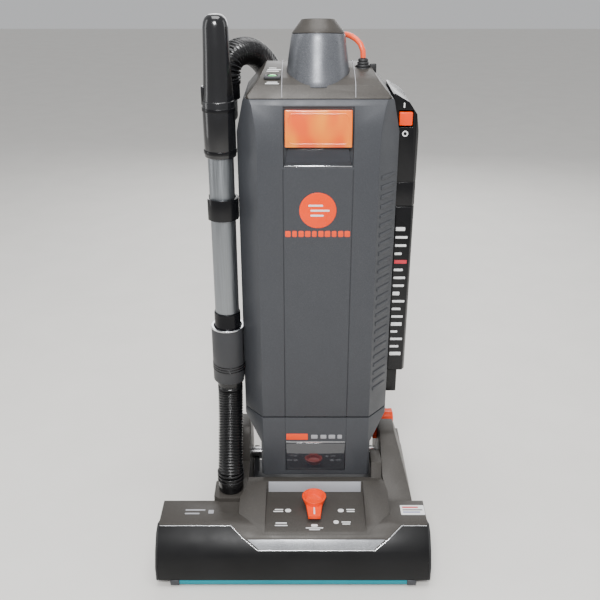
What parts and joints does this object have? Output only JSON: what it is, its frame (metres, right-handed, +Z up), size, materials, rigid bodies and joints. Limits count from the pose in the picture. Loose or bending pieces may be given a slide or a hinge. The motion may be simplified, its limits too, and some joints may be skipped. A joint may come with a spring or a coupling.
{
  "type": "upright vacuum cleaner",
  "caption": "Commercial upright vacuum cleaner: wide floor head, reclining body with bag door, stowed wand with hoses, side filter module and a cord wound on rear hooks.",
  "frame": {"origin": "centre of the footprint's bounding box, on the floor", "axes": "+Z up, front faces -Y, +X is the right-hand side seen from the front"},
  "size_m": [0.406, 0.364, 0.7885],
  "materials": {
    "grey_plastic": "moulded grey ABS with fine metallic fleck",
    "warm_grey_plastic": "moulded warm grey ABS, satin with fine metallic fleck",
    "dark_plastic": "dark grey moulded plastic",
    "black_plastic": "black moulded plastic, semi-gloss",
    "bumper": "soft matt black moulding",
    "orange_plastic": "glossy orange moulded plastic",
    "amber_lens": "translucent orange plastic, polished",
    "clear_lens": "smoked clear plastic lens",
    "steel": "plain steel",
    "wand_metal": "satin aluminium tube",
    "rubber": "black rubber",
    "hose": "corrugated black hose",
    "teal": "teal moulded strip",
    "bag_paper": "filter cloth dust bag",
    "filter_media": "pleated filter media",
    "bristle": "black brush roll with nylon bristle",
    "cord": "orange vinyl cord jacket",
    "lamp": "green indicator lens"
  },
  "bodies": {
    "floor_head": {"nozzle_housing": "warm_grey_plastic", "nozzle_cover": "warm_grey_plastic", "nozzle_base": "dark_plastic", "front_bumper": "bumper", "end_guard_left": "rubber", "end_guard_right": "rubber", "base_lip": "teal", "brush_bearing_left": "black_plastic", "brush_bearing_right": "black_plastic", "brush_motor": "steel", "brush_belt": "rubber", "rear_axle": "steel", "pivot_pin_left": "steel", "pivot_pin_right": "steel"},
    "brush": {"brush_roll": "bristle"},
    "brush_shaft": {"motor_shaft": "steel"},
    "wheel_left": {"rear_wheel_left": "rubber"},
    "wheel_right": {"rear_wheel_right": "rubber"},
    "carriage": {"wheel_carriage": "steel"},
    "roller_left": {"front_roller_left": "rubber"},
    "roller_right": {"front_roller_right": "rubber"},
    "knob": {"height_knob": "orange_plastic"},
    "pedal": {"pedal": "orange_plastic", "pedal_spring": "steel"},
    "body": {"pivot_frame": "dark_plastic", "rear_shell": "dark_plastic", "lower_cover": "grey_plastic", "headlight_lens": "clear_lens", "top_cover": "warm_grey_plastic", "check_lamp": "lamp", "handle_socket": "grey_plastic", "door_gasket": "rubber", "dust_bag": "bag_paper", "bag_dock": "black_plastic", "motor_can": "steel", "switch_pod": "black_plastic", "hepa_filter": "filter_media", "wand_cup": "dark_plastic", "wand_clip": "black_plastic", "lower_hose": "hose", "upper_hose": "hose", "cord_hook_upper": "black_plastic", "cord_hook_lower": "black_plastic", "strain_relief": "rubber", "power_cord": "cord", "cord_winding": "cord", "cord_plug": "cord"},
    "door": {"bag_door": "grey_plastic", "latch_spring": "steel"},
    "latch": {"door_latch": "amber_lens"},
    "fan": {"motor_fan": "dark_plastic"},
    "filter_door": {"filter_cover": "black_plastic"},
    "filter_catch": {"filter_latch": "black_plastic"},
    "rocker": {"rocker_switch": "orange_plastic"},
    "wand": {"wand_tube": "wand_metal", "wand_cuff": "black_plastic", "wand_handle": "black_plastic", "hose_cuff": "black_plastic"}
  },
  "joints": [
    {"name": "recline", "type": "hinge", "parent": "floor_head", "child": "body", "pos_m": [0.034, 0.0845, 0.06], "axis": [-1, 0, 0], "range_deg": [0, 70], "deforming": ["lower_hose"]},
    {"name": "brush_spin", "type": "hinge", "parent": "floor_head", "child": "brush", "pos_m": [0.034, -0.1225, 0.03], "axis": [1, 0, 0], "continuous": true},
    {"name": "brush_shaft_spin", "type": "hinge", "parent": "floor_head", "child": "brush_shaft", "pos_m": [0.034, -0.06, 0.052], "axis": [1, 0, 0], "continuous": true},
    {"name": "wheel_left_spin", "type": "hinge", "parent": "floor_head", "child": "wheel_left", "pos_m": [0.034, 0.1045, 0.036], "axis": [1, 0, 0], "continuous": true},
    {"name": "wheel_right_spin", "type": "hinge", "parent": "floor_head", "child": "wheel_right", "pos_m": [0.034, 0.1045, 0.036], "axis": [1, 0, 0], "continuous": true},
    {"name": "height_knob_turn", "type": "hinge", "parent": "floor_head", "child": "knob", "pos_m": [0.0315, -0.0875, 0.09], "axis": [0, 0, 1], "range_deg": [-115, 115]},
    {"name": "carriage_swing", "type": "hinge", "parent": "floor_head", "child": "carriage", "pos_m": [0.034, -0.0205, 0.022], "axis": [1, 0, 0], "range_deg": [-4.1, 4.1]},
    {"name": "roller_left_spin", "type": "hinge", "parent": "carriage", "child": "roller_left", "pos_m": [0.034, -0.0705, 0.012], "axis": [1, 0, 0], "continuous": true},
    {"name": "roller_right_spin", "type": "hinge", "parent": "carriage", "child": "roller_right", "pos_m": [0.034, -0.0705, 0.012], "axis": [1, 0, 0], "continuous": true},
    {"name": "pedal_press", "type": "hinge", "parent": "floor_head", "child": "pedal", "pos_m": [0.034, 0.0755, 0.106], "axis": [-1, 0, 0], "range_deg": [0, 15], "stiffness_Nm_per_rad": 1.5, "springref_deg": -20.05, "deforming": ["pedal_spring"]},
    {"name": "door_open", "type": "hinge", "parent": "body", "child": "door", "pos_m": [0.034, -0.0375, 0.2135], "axis": [1, 0, 0], "range_deg": [0, 75]},
    {"name": "latch_pull", "type": "hinge", "parent": "door", "child": "latch", "pos_m": [0.034, -0.0325, 0.6735], "axis": [-1, 0, 0], "range_deg": [0, 20], "stiffness_Nm_per_rad": 0.3, "springref_deg": -17.19, "deforming": ["latch_spring"]},
    {"name": "fan_spin", "type": "hinge", "parent": "body", "child": "fan", "pos_m": [0.034, 0.0295, 0.15], "axis": [0, 0, 1], "continuous": true},
    {"name": "filter_door_open", "type": "hinge", "parent": "body", "child": "filter_door", "pos_m": [0.168, 0.0595, 0.525], "axis": [0, -1, 0], "range_deg": [0, 60]},
    {"name": "filter_catch_release", "type": "hinge", "parent": "body", "child": "filter_catch", "pos_m": [0.146, 0.0355, 0.224], "axis": [0, 1, 0], "range_deg": [0, 18], "stiffness_Nm_per_rad": 0.1, "springref_deg": -11.46},
    {"name": "rocker_press", "type": "hinge", "parent": "body", "child": "rocker", "pos_m": [0.152, 0.0125, 0.654], "axis": [1, 0, 0], "range_deg": [0, 14]},
    {"name": "wand_lift", "type": "slide", "parent": "body", "child": "wand", "axis": [0, 0, 1], "range_m": [0, 0.06], "deforming": ["upper_hose"]}
  ],
  "couplings": [
    {"joint": "brush_shaft_spin", "follows": "brush_spin", "ratio": 1.75},
    {"joint": "carriage_swing", "follows": "height_knob_turn", "ratio": 0.0348}
  ]
}
